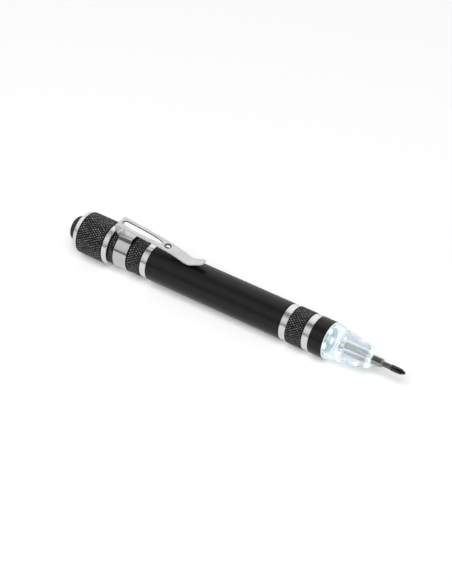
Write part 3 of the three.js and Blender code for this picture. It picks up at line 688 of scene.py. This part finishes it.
# Bits: a hexagon shank, a round neck and a shaped point, ground from tool steel. The neck is coloured a
# darker brownish grey and the point darker still. The points are a cross, a star, a flat blade and a hexagon
# key. The cross bit sits in the nose, and the others lie in the magazine.
flats = 2.8
corner_r = flats / math.sqrt(3)
shank = 14.0
shank_bevel = 0.5
bit_neck_r = 0.9
bit_neck = 3.2
point_r = 1.1
point_length = 5.0
bit_end = bit_neck + point_length
bit_edge = 0.03
flute_side = 1.6
flute_core = 0.22
flute_lean = 9
blade_half = 0.25
blade_lean = 8
cheek_side = 4.2
tool_length = 10
star_r = 0.95
star_dip = 0.116
key_r = 1.5 / math.sqrt(3)
bit_x = 20.0
bit_turn = -4
slot_front = -22.4
slot_radius = 3.0155
spare_x = slot_front - 0.3 - bit_end


def moved(piece, matrix):
    to_axis = Matrix.Translation(at(0, 0, 0))
    piece.data.transform(to_axis @ matrix @ to_axis.inverted())


def shift(x=0.0, y=0.0, z=0.0):
    return Matrix.Translation((x * MM, y * MM, z * MM))


def spun(degrees, axis="X"):
    return Matrix.Rotation(math.radians(degrees), 4, axis)


def square_bar(name, side, matrix):
    bpy.ops.object.select_all(action="DESELECT")
    sizes = (tool_length * MM, side * MM, side * MM)
    bpy.ops.mesh.primitive_cube_add(size=1, location=at(0, 0, 0), scale=sizes)
    tool = bpy.context.object
    tool.name = name
    bpy.ops.object.transform_apply(location=True, rotation=True, scale=True)
    moved(tool, matrix)
    return tool


def round_blank(name, kind):
    inner_end = 0.2 - shank
    profile = [
        (inner_end, 0), (inner_end, bit_neck_r), (bit_neck - 0.6, bit_neck_r),
        (bit_neck - 0.45, bit_neck_r + 0.03), (bit_neck + 0.1, point_r),
    ]
    if kind == "cross":
        profile += [(bit_end - 1.6, point_r), (bit_end - 0.06, 0.38), (bit_end, 0.32)]
    elif kind == "flat":
        profile += [(bit_end - 0.05, point_r), (bit_end, point_r - 0.05)]
    else:
        profile += [(bit_end - 2.6, point_r), (bit_end - 2.4, 0.6), (bit_end - 2.0, 0.55)]
    return turned(name, profile + [(profile[-1][0], 0)], sides=32)


def bevelled_hexagon(name):
    hexagon = turned(name + "_hexagon", [(-shank, 0), (-shank, corner_r), (0, corner_r), (0, 0)], sides=6)
    moved(hexagon, spun(-30))
    past = 0.05
    wide = corner_r + past
    cone = turned(name + "_cone", [
        (-shank - past, 0), (-shank - past, bit_neck_r), (shank_bevel - shank, wide),
        (-shank_bevel, wide), (past, bit_neck_r), (past, 0),
    ], sides=48)
    combined(hexagon, cone, "INTERSECT")
    return hexagon


def point_prism(r, sides):
    start = bit_neck + 1.0
    profile = [(start, 0), (start, r), (bit_end - 0.1, r), (bit_end, r - 0.1), (bit_end, 0)]
    return turned("prism", profile, sides)


def star_prism():
    prism = point_prism(star_r, sides=36)
    for vertex in prism.data.vertices:
        angle = math.atan2(vertex.co.y, vertex.co.z - axis_z)
        scale = 1 - star_dip * (1 - math.cos(6 * angle))
        vertex.co.y *= scale
        vertex.co.z = axis_z + (vertex.co.z - axis_z) * scale
    return prism


def hardened_steel():
    steel = Finish("hardened_tool_steel", Metallic=1.0)
    cloud = steel.noise(scale=700.0, detail=4.0)
    grind = steel.lines(scale=9000.0)
    tone = steel.mix(cloud, (0.33, 0.34, 0.31, 1), (0.47, 0.48, 0.45, 1))
    steel.wear(Base_Color=tone, Roughness=0.22 + 0.08 * grind + 0.06 * cloud)
    return steel.wear(Normal=steel.bump(grind, distance=0.01, strength=0.3))


def darker_steel(name, dark, light):
    steel = Finish(name, Metallic=1.0)
    cloud = steel.noise(scale=900.0, detail=3.0)
    grind = steel.lines(scale=9000.0)
    return steel.wear(Base_Color=steel.mix(cloud, dark, light), Roughness=0.14 + 0.12 * grind)


tool_steel = hardened_steel()
darker_neck = darker_steel("darker_neck_steel", (0.12, 0.105, 0.098, 1), (0.24, 0.215, 0.2, 1))
darkest_point = darker_steel("darkest_point_steel", (0.05, 0.048, 0.046, 1), (0.13, 0.125, 0.12, 1))


def bit(name, kind):
    piece = round_blank(name, kind)
    combined(piece, bevelled_hexagon(name), "UNION")
    if kind == "cross":
        lean = shift(bit_end, 0, flute_core) @ spun(flute_lean, "Y")
        lean = lean @ shift(z=flute_side / math.sqrt(2)) @ spun(45)
        for k in range(4):
            combined(piece, square_bar("flute", flute_side, spun(90 * k + 45) @ lean), "DIFFERENCE")
    elif kind == "flat":
        for way in (1, -1):
            lean = shift(bit_end, 0, way * blade_half) @ spun(way * blade_lean, "Y")
            cheek = square_bar("cheek", cheek_side, lean @ shift(z=way * cheek_side / 2))
            combined(piece, cheek, "DIFFERENCE")
    else:
        combined(piece, star_prism() if kind == "star" else point_prism(key_r, sides=6), "UNION")
    bevelled(piece, bit_edge, segments=1, degrees=35)
    settle(piece)
    smooth(piece, degrees=25)
    coated(piece, tool_steel, darker_neck, darkest_point)
    for face in piece.data.polygons:
        x = station(face.center)
        if x > 0.05:
            face.material_index = 1 if x < bit_neck - 0.1 else 2
    return piece


driver = bit("driving_bit", "cross")
moved(driver, shift(x=bit_x) @ spun(bit_turn))
finished(driver, "driver_bit", "tool_steel", "driver_bit")
for k, kind in enumerate(("star", "flat", "key")):
    spare = bit(f"spare_{kind}_bit", kind)
    moved(spare, spun(120 * k) @ shift(x=spare_x, z=slot_radius))
    finished(spare, "magazine", "tool_steel", f"spare_bit_{k + 1}")

# Magazine: a moulded holder with three open slots for spare bits, a long stem and a rear guide, round a
# brass contact rod. Its head turns in the front sleeve behind a lip, and a spring in front of the rod feeds
# the current to the lamp unit.
rod_r = 0.8
rod_edge = 0.15
rod_rear = -78.9
rod_hole_r = rod_r + running_gap
head_front = -13.6
head_r = 4.203
head_rear = head_front - 4.5
rod_front = head_front + 0.6
throat_r = 3.403
holder_r = bore_r - running_gap
holder_front = slot_front + 1.2
holder_rear = -46.4
slot_rear = holder_rear + 1.2
slot_r = 1.717
slot_open = 4.0
stem_r = 2.1
guide_front = -75.6
guide_rear = guide_front - 2.0
magazine = turned("slotted_bit_holder", [
    (head_front, rod_hole_r), (head_front, head_r - 0.153), (head_front - 0.15, head_r), (head_rear, head_r),
    (head_rear, throat_r), (holder_front, throat_r), (holder_front, holder_r), (holder_rear, holder_r),
    (holder_rear, stem_r), (guide_front, stem_r), (guide_front, holder_r), (guide_rear, holder_r),
    (guide_rear, rod_hole_r),
], sides=84)
for k in range(3):
    ends = [(slot_rear, 0), (slot_rear, slot_r), (slot_front, slot_r), (slot_front, 0)]
    trough = turned("trough", ends, sides=48)
    for vertex in trough.data.vertices:
        if vertex.co.z > axis_z - 0.01 * MM:
            vertex.co.z += slot_open * MM
    moved(trough, spun(120 * k) @ shift(z=slot_radius))
    combined(magazine, trough, "DIFFERENCE")
settle(magazine)
bevelled(magazine, width=0.1, segments=2, degrees=50)
smooth(magazine, degrees=20)
grey_plastic = moulded("grey_plastic", (0.1, 0.105, 0.11, 1), (0.16, 0.165, 0.17, 1), rough=0.4)
coated(magazine, grey_plastic)
finished(magazine, "magazine", "grey_plastic", "bit_magazine")
rod = turned("brass_contact_rod", [
    (rod_rear, 0), (rod_rear, rod_r - rod_edge), (rod_rear + rod_edge, rod_r),
    (rod_front - rod_edge, rod_r), (rod_front, rod_r - rod_edge), (rod_front, 0),
], sides=32)
smooth(rod, degrees=20)
coated(rod, brass)
finished(rod, "magazine", "brass", "contact_rod")


wire_sides = 12
turn_sections = 32


def coil(name, start, end, wire, start_r, end_r, turns):
    bpy.ops.object.select_all(action="DESELECT")
    bpy.ops.mesh.primitive_circle_add(
        vertices=wire_sides, radius=wire / 2 * MM, rotation=(math.pi / 2, 0, 0),
        location=(0, 0, start_r * MM),
    )
    spring = bpy.context.object
    spring.name = spring.data.name = name
    bpy.ops.object.transform_apply(location=True, rotation=True, scale=True)
    rise = end - start - wire
    sections = round(turn_sections * turns)
    modified(
        spring, "SCREW", axis="X", angle=2 * math.pi * turns, screw_offset=rise * MM, steps=sections,
        render_steps=sections, use_merge_vertices=False,
    )
    for vertex in spring.data.vertices:
        scale = 1 + (end_r / start_r - 1) * vertex.co.x / (rise * MM)
        vertex.co.y *= scale
        vertex.co.z *= scale
    spring.data.transform(Matrix.Translation(at(start + wire / 2, 0, 0)))
    bpy.ops.object.mode_set(mode="EDIT")
    bpy.ops.mesh.select_all(action="SELECT")
    bpy.ops.mesh.fill_holes(sides=0)
    bpy.ops.object.mode_set(mode="OBJECT")
    settle(spring)
    smooth(spring, degrees=50)
    coated(spring, nickel)
    return spring


feed_spring = coil("feed_coil", rod_front + seat_gap, -6.1, wire=0.4, start_r=1.5, end_r=1.5, turns=5)
finished(feed_spring, "magazine", "nickel", "feed_spring")

# Front sleeve: turned and anodised with the barrel. Collar, two bright-cut rings and a knurled grip
# outside, and behind them the threaded spigot that screws into the barrel.
collar_rear = -5.2
sleeve_grip_front = collar_rear - ring_width
sleeve_grip_rear = sleeve_rear + ring_width
spigot_r = bore_r - running_gap
spigot_rear = -20.9
spigot_thread = (sleeve_rear - step_wall, spigot_rear + 0.2)
sleeve_bore_r = barrel_r - 1.1
lamp_seat = -6.1
head_bore_r = head_r + running_gap
lip_front = head_rear - 0.3
lip_r = throat_r + running_gap
sleeve = turned("front_collar_and_grip", [
    (0, sleeve_bore_r), (0, barrel_r - 0.203), (-0.06, barrel_r - 0.083), (-0.2, barrel_r),
    (collar_rear / 2, barrel_r), (collar_rear + 0.1, barrel_r), (collar_rear, barrel_r - 0.023),
    (collar_rear - step_wall, ring_r), (sleeve_grip_front + step_wall, ring_r),
    *band(sleeve_grip_front, sleeve_grip_rear, knurl_root, knurl_step),
    (sleeve_grip_rear - step_wall, ring_r), (sleeve_rear + 0.1, ring_r), (sleeve_rear, ring_r - 0.08),
    (sleeve_rear, 5.5), *band(*spigot_thread, spigot_r, thread_step), (spigot_rear, spigot_r - 0.203),
    (spigot_rear, lip_r), (lip_front, lip_r), (lip_front, head_bore_r), (lamp_seat, head_bore_r),
    (lamp_seat, sleeve_bore_r),
], knurl_count)
knurled(sleeve, sleeve_grip_front, sleeve_grip_rear)
threaded(sleeve, *spigot_thread, spigot_r, -thread_depth)
smooth(sleeve)
coated(sleeve, anodised, bright_cut, wear_and_highlight_crest)
finished(sleeve, "front", "black_anodised", "front_sleeve")
front_ring = (collar_rear - 0.01, sleeve_grip_front + 0.02)
rear_ring = (sleeve_grip_rear - 0.02, sleeve_rear + step_wall)
cut_bright(sleeve, front_ring, rear_ring)

# Lamp unit: a ring board lacquered blue-green with three white lamps, and behind it a stud in an
# insulating bush that feeds the board. A small magnet in the nose holds the bit. The stud and the magnet
# have a pale brass-coloured plating.
lamp_window = -0.62


def lamp_finish():
    lamp = Finish("lamp_lit", Emission_Strength=0.6, Roughness=0.35)
    x, _, _ = lamp.across()
    window = lamp.math("GREATER_THAN", x, sleeve_face + lamp_window * MM)
    cloud = lamp.noise(scale=2000.0, detail=2.0)
    lamp.wear(Base_Color=lamp.mix(cloud, (0.8, 0.8, 0.72, 1), (0.95, 0.94, 0.86, 1)))
    return lamp.wear(Emission_Color=lamp.mix(window, (0.25, 0.28, 0.3, 1), (0.55, 0.86, 0.82, 1)))


def board_finish():
    board = Finish("board_lacquer", IOR=1.5)
    edges = {"feature": "DISTANCE_TO_EDGE"}
    net = board.node("ShaderNodeTexVoronoi", edges, {"Vector": board.place, "Scale": 900.0})
    cloud = board.noise(scale=900.0, detail=3.0)
    lacquer = board.ramp(net["Distance"], low=0.05, high=0.09)
    tone = board.mix(lacquer, (0.02, 0.16, 0.28, 1), (0.015, 0.5, 0.43, 1))
    return board.wear(Base_Color=tone, Roughness=0.3 + 0.12 * cloud)


lamp_lit = lamp_finish()
board_green = board_finish()
plating = plated("pale_plating", (0.42, 0.39, 0.28, 1), (0.62, 0.58, 0.44, 1), rough=0.3)
dress(lamp_lit, "led_1", "led_2", "led_3")
dress(board_green, "led_board")
dress(plating, "magnet", "contact_stud")
dress(ivory, "stud_bush")

# Nose: moulded in clear plastic. A rim meets the collar, the cone ends in a bevel, and the hexagon socket
# takes the bit. Its bluish-white glow is painted light: emission on the plastic itself, brightest at the
# skirt by the lamps and fading towards the front, and a painted glow on the front face.
nose_face = 16.1
skirt_rear = -3.0
skirt_r = sleeve_bore_r - running_gap
hollow_r = 4.603
hollow_end = 4.6
rim_front = 0.92
cone_rear = 1.0
cone_rear_r = 6.335
cone_front = 15.2
cone_front_r = 3.62
cone_slope = (cone_front_r - cone_rear_r) / (cone_front - cone_rear)
cone_stations = [cone_rear, *steps(4.0, 12.0, 4.0), cone_front]
cone = [(x, cone_rear_r + cone_slope * (x - cone_rear)) for x in cone_stations]
pocket_r = 1.4
boss_r = 2.1
boss_rear = 3.7
socket_floor = 5.9
socket_r = 3.0 / math.sqrt(3)
socket_wall = 2.2
nose = turned("clear_nose", [
    (skirt_rear, hollow_r), (skirt_rear, skirt_r - 0.053), (skirt_rear + 0.05, skirt_r), (seat_gap, skirt_r),
    (seat_gap, barrel_r - 0.083), (seat_gap + 0.06, barrel_r - 0.023), (seat_gap + 0.12, barrel_r),
    (rim_front - 0.12, barrel_r), (rim_front - 0.04, barrel_r - 0.033), (rim_front, barrel_r - 0.143), *cone,
    (cone_front + 0.15, 3.58), (cone_front + 0.28, 3.48), (nose_face - 0.08, 2.53), (nose_face, 2.42),
    (nose_face, 2.0), (nose_face, pocket_r + 0.02), (nose_face - 0.6, pocket_r),
    (boss_rear, pocket_r), (boss_rear, boss_r - 0.1), (boss_rear + 0.1, boss_r), (hollow_end - 0.1, boss_r),
    (hollow_end, boss_r + 0.1), (hollow_end, 4.3), (hollow_end - 0.1, 4.5), (hollow_end - 0.3, hollow_r),
], sides=96)
past_face = 18.8
socket = turned("socket_tool", [
    (socket_floor, 0), (socket_floor, socket_r), (past_face, socket_r), (past_face, 0),
], sides=6)
moved(socket, spun(bit_turn - 30))
combined(nose, socket, "DIFFERENCE")
settle(nose)
smooth(nose, degrees=30)


def clear_moulding():
    clear = Finish("clear_nose_plastic", IOR=1.49, Transmission_Weight=0.94, Emission_Strength=1.0)
    x, y, z = clear.across()
    along = (x - sleeve_face) / (nose_face * MM)
    outside = clear.math("GREATER_THAN", clear.math("SQRT", y * y + z * z), socket_wall * MM)
    cloud = clear.noise(scale=300.0, detail=3.0)
    ripple = clear.noise(scale=900.0, detail=2.0)
    # Painted glow: the plastic emits, brightest at the skirt outside the socket and fading towards the front,
    # and brighter again on the front face, in place of the lamps' light in it.
    painted_glow_fade = clear.ramp(1 - along, low=0.0, high=1.0)
    front = clear.ramp(along, low=0.9, high=0.96)
    glow = clear.mix(painted_glow_fade * outside, (0.01, 0.012, 0.014, 1), (0.12, 0.135, 0.145, 1))
    glow = clear.mix(front, glow, (0.26, 0.3, 0.27, 1))
    clear.wear(Base_Color=clear.mix(cloud, (0.82, 0.885, 0.935, 1), (0.9, 0.945, 0.975, 1)))
    clear.wear(Emission_Color=glow, Roughness=0.03 + 0.06 * ripple)
    return clear.wear(Normal=clear.bump(ripple, distance=0.03, strength=0.3))


clear_plastic = clear_moulding()
coated(nose, clear_plastic)
finished(nose, "front", "clear_plastic", "nose_lens")

# Tail cap: turned and anodised like the barrel, with a bright-cut ring in front, a knurled grip and a
# bright-cut bevel behind. It screws onto the barrel's neck.
cap_r = 7.603
cap_ring_r = cap_r - 0.1
cap_root = 7.42
cap_bore_r = neck_r + running_gap
cap_front = shoulder_rear - seat_gap
cap_grip_front = cap_front - 2.0
cap_grip_rear = -99.8
cap_rear = -101.7
cap_floor = -99.8
cap_thread = (cap_front - 0.6, cap_front - 6.0)
cap_knurls = 50
cap_knurl_step = 1.6
button_hole_r = 4.5
cap = turned("knurled_tail_cap", [
    (cap_front, 6.4), (cap_front, cap_ring_r - 0.183), (cap_front - 0.06, cap_ring_r - 0.073),
    (cap_front - 0.2, cap_ring_r), (cap_grip_front + 0.1, cap_ring_r), (cap_grip_front + step_wall, cap_root),
    *band(cap_grip_front, cap_grip_rear, cap_root, cap_knurl_step), (cap_grip_rear - step_wall, cap_root),
    (-99.9, 7.58), (-100.05, 7.56), (-100.9, 7.28), (-101.5, 7.07), (-101.65, 6.98), (cap_rear, 6.88),
    (cap_rear, button_hole_r + 0.15), (cap_rear + 0.15, button_hole_r), (cap_floor, button_hole_r),
    (cap_floor, cap_bore_r), *reversed(band(*cap_thread, cap_bore_r, thread_step)),
    (cap_front - 0.1, cap_bore_r),
], cap_knurls)
knurled(cap, cap_grip_front, cap_grip_rear)
threaded(cap, *cap_thread, cap_bore_r, thread_depth)
smooth(cap)
coated(cap, anodised, bright_cut, wear_and_highlight_crest)
finished(cap, "tail_cap", "black_anodised", "tail_cap")
cut_bright(cap, (cap_front + 0.1, cap_grip_front + 0.07), (cap_grip_rear - 0.08, cap_rear - 0.7))

# Switch: a moulded housing that the cap carries, with the spring that presses the cells and the return
# spring of the push button. The black button is moulded with a domed end and a flange that keeps it in.
flange_front = -98.4
flange_rear = -99.6
flange_r = 5.303
button_r = 4.4
button_end = -105.9
dome_rise = 1.4
dress(ivory, "switch_housing")
dress(brass, "switch_contact")
cell_coil = coil("cell_coil", -93.1, -90.7, wire=0.5, start_r=3.2, end_r=1.5, turns=2)
finished(cell_coil, "switch_core", "nickel", "cell_spring")
button_coil = coil("button_coil", flange_front + seat_gap, -94.5, wire=0.5, start_r=3.0, end_r=3.0, turns=2.5)
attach(button_coil, "switch_core")
at(-94.5, 0, 0)
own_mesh(button_coil)
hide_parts("button_spring")
dome = [(button_end + dome_rise * (1 - math.sin(a)), button_r * math.cos(a)) for a in steps(0, 1.5, 0.15)]
button = turned("domed_push_button", [
    (flange_front, 0), (flange_front, flange_r - 0.053), (flange_front - 0.1, flange_r),
    (flange_rear + 0.1, flange_r), (flange_rear, flange_r - 0.053), (flange_rear, button_r + 0.05),
    (flange_rear - 0.1, button_r), *dome, (button_end, 0),
], sides=64)
smooth(button, degrees=35)
button_plastic = moulded("black_button_plastic", (0.009, 0.009, 0.01, 1), (0.018, 0.018, 0.02, 1), rough=0.38)
coated(button, button_plastic)
finished(button, "push_button", "button_plastic", "push_button")

# Floor: a plain white sheet. The pen lies on the cap's front edge and the collar's front edge, so the
# sheet leans a little to touch both. The camera sees it white, and it keeps the pen's shadow.
cap_rest = cap_front - 0.2
floor_size = 6
glow_share = 0.08
glow_strength = 2.75
floor_lean = math.atan2(cap_r - barrel_r, -cap_rest)
bpy.ops.object.select_all(action="DESELECT")
bpy.ops.mesh.primitive_plane_add(size=floor_size)
floor = bpy.context.object
floor.name = "white_floor"
floor.data.transform(Matrix.Translation(at(cap_rest, 0, -cap_r)) @ Matrix.Rotation(-floor_lean, 4, "Y"))


def grey(value):
    return (value, value, value, 1)


sheet_white = Finish("floor_sheet", Roughness=0.9, Specular_IOR_Level=0.0)
seen = sheet_white.node("ShaderNodeLightPath")
shown = sheet_white.math("MAXIMUM", seen["Is Camera Ray"], seen["Is Glossy Ray"])
shown = sheet_white.math("MAXIMUM", shown, seen["Is Transmission Ray"])
paper = sheet_white.mix(sheet_white.noise(scale=400.0, detail=2.0), grey(0.65), grey(0.68))
sheet_white.wear(Base_Color=sheet_white.mix(seen["Is Camera Ray"], paper, grey(1.0)))
glow = {"Color": grey(1.0), "Strength": glow_strength}
white = sheet_white.node("ShaderNodeEmission", None, glow)["Emission"]
matt = Wire(sheet_white, sheet_white.shader.outputs["BSDF"])
parts = {0: shown * glow_share, 1: matt, 2: white}
lit_paper = sheet_white.node("ShaderNodeMixShader", None, parts)["Shader"]
sheet_white.set(sheet_white.tree.nodes["Material Output"], {"Surface": lit_paper})
coated(floor, sheet_white)

# Light: a white room. Seen in polished metal it has two dark gaps, one across the ceiling and one along
# the horizon on the camera's side. A broad lamp above, also on the camera's side, gives the soft shadow.
fill_tone = 0.215
glass_tone = 0.85
gap_tone = 0.04
gap_start = 1.355
gap_slope = 2.985
gap_spread = 0.5
gap_stop = -0.37
horizon_greys = [(0.0, 0.9), (0.04, 0.9), (0.05, gap_tone), (0.098, gap_tone), (0.12, 0.6), (0.3, 0.78),
                 (0.6, 0.92), (1.0, 0.95)]
world = bpy.data.worlds.new("studio")
bpy.context.scene.world = world
world.use_nodes = True
room = Nodes(world.node_tree)
direction = room.node("ShaderNodeTexCoord")["Generated"]
split = room.node("ShaderNodeSeparateXYZ", None, {"Vector": direction})
lean = room.math("ARCTAN2", 0 - split["Y"], split["Z"])
along = room.math("MINIMUM", split["X"], gap_stop)
off_gap = room.math("ABSOLUTE", lean - (along * gap_slope + gap_start)) - (along + 0.5) * gap_spread
ceiling = room.ramp(off_gap, low=0.16, high=0.23)
around = room.math("ARCTAN2", split["Z"], 0 - split["Y"]) / math.pi
horizon_stops = [(where, grey(value)) for where, value in horizon_greys]
horizon = room.node("ShaderNodeValToRGB", {"stops": horizon_stops}, {"Fac": around})["Color"]
bands = room.mix(ceiling, grey(gap_tone), horizon)
rays = room.node("ShaderNodeLightPath")
tone = room.mix(rays["Is Glossy Ray"], grey(fill_tone), bands)
tone = room.mix(rays["Is Transmission Ray"], tone, grey(glass_tone))
tone = room.mix(rays["Is Camera Ray"], tone, grey(1.0))
room.set(world.node_tree.nodes["Background"], {"Color": tone, "Strength": 1.0})
lamp_data = bpy.data.lights.new("overhead_softbox", "AREA")
lamp_data.shape = "RECTANGLE"
lamp_data.size = 1.9
lamp_data.size_y = 1.5
lamp_data.energy = 35.2
softbox = bpy.data.objects.new("overhead_softbox", lamp_data)
bpy.context.collection.objects.link(softbox)
softbox.location = (0.25, -0.85, 1.74)
softbox.rotation_euler = (-softbox.location).to_track_quat("-Z", "Y").to_euler()
softbox.visible_glossy = False

# Camera: the photograph's viewing angle and lens. It stands on the right of the pen, ahead of the bit, and
# looks down on it.
camera_data = bpy.data.cameras.new("camera")
camera_data.lens = 112.0
camera_data.sensor_width = 36.0
camera_data.clip_start = 0.01
camera_data.clip_end = 20.0
camera = bpy.data.objects.new("camera", camera_data)
bpy.context.collection.objects.link(camera)
camera.location = at(217.6, -382.8, 405.7)
camera.rotation_euler = Vector((-0.4217, 0.6229, -0.6590)).to_track_quat("-Z", "Y").to_euler()
bpy.context.scene.camera = camera
bpy.context.scene.view_settings.view_transform = "Standard"
